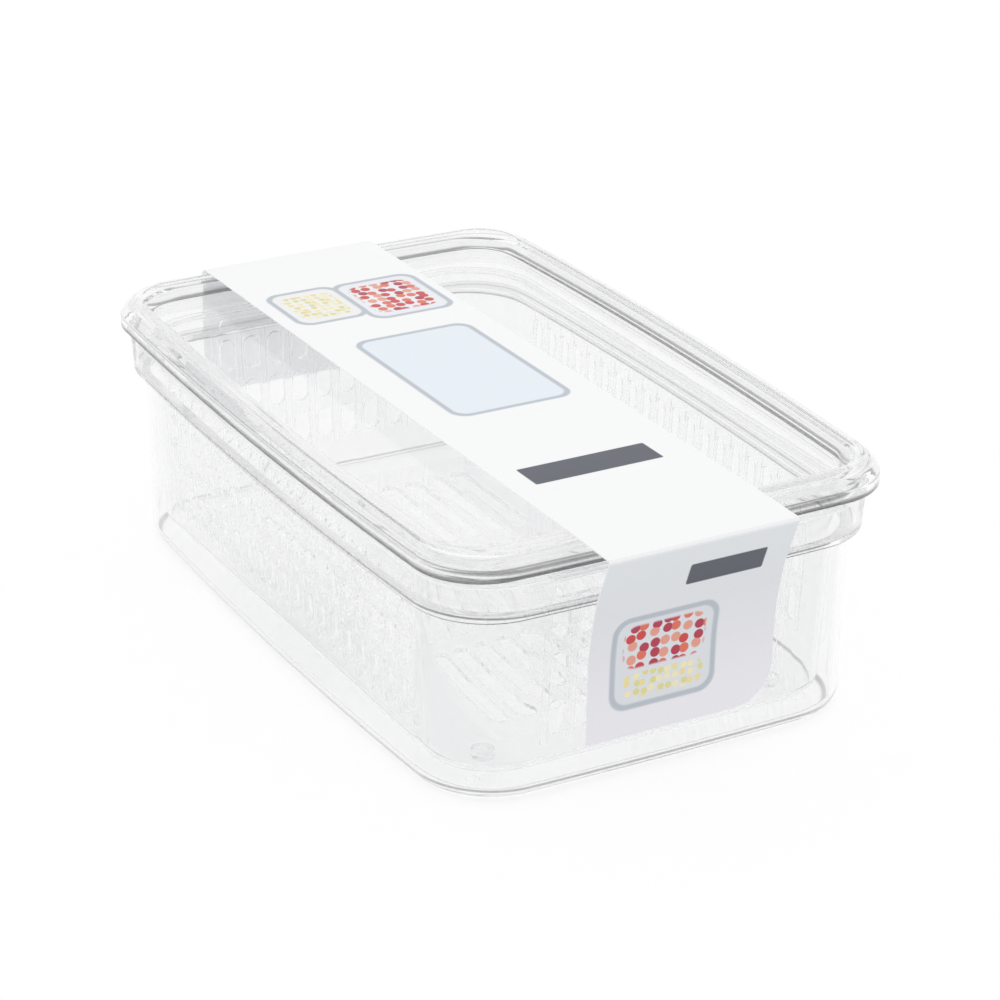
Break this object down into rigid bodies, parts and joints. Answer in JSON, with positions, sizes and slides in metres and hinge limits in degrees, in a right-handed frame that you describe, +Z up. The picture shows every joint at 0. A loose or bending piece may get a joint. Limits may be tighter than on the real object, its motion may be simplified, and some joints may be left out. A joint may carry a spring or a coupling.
{
  "type": "vegetable storage container with strainer basket",
  "caption": "Clear rectangular food storage container with a lift-out slotted strainer basket, a flat lid with a raised frame and a card sleeve over the top.",
  "frame": {"origin": "centre of the tub's underside, level with the bottoms of its four low feet", "axes": "+Z up, +Y along the length towards the back, +X across the width; the sleeve's longer flap is at -Y"},
  "size_m": [0.2, 0.3276, 0.1058],
  "materials": {
    "clear_plastic": "clear, glossy moulded plastic",
    "basket_plastic": "clear, glossy moulded plastic",
    "lid_plastic": "clear, glossy moulded plastic",
    "printed_card": "thin printed card with a soft satin coat"
  },
  "bodies": {
    "tub": {"tub": "clear_plastic"},
    "strainer_basket": {"strainer_basket": "basket_plastic"},
    "lid": {"lid": "lid_plastic"},
    "card_sleeve": {"card_sleeve": "printed_card"}
  },
  "joints": [
    {"name": "basket_lift", "type": "slide", "parent": "tub", "child": "strainer_basket", "axis": [0, 0, 1], "range_m": [0, 0.1]},
    {"name": "lid_lift", "type": "slide", "parent": "strainer_basket", "child": "lid", "axis": [0, 0, 1], "range_m": [0, 0.08]},
    {"name": "sleeve_slide", "type": "slide", "parent": "lid", "child": "card_sleeve", "axis": [1, 0, 0], "range_m": [-0.16, 0.16]}
  ]
}
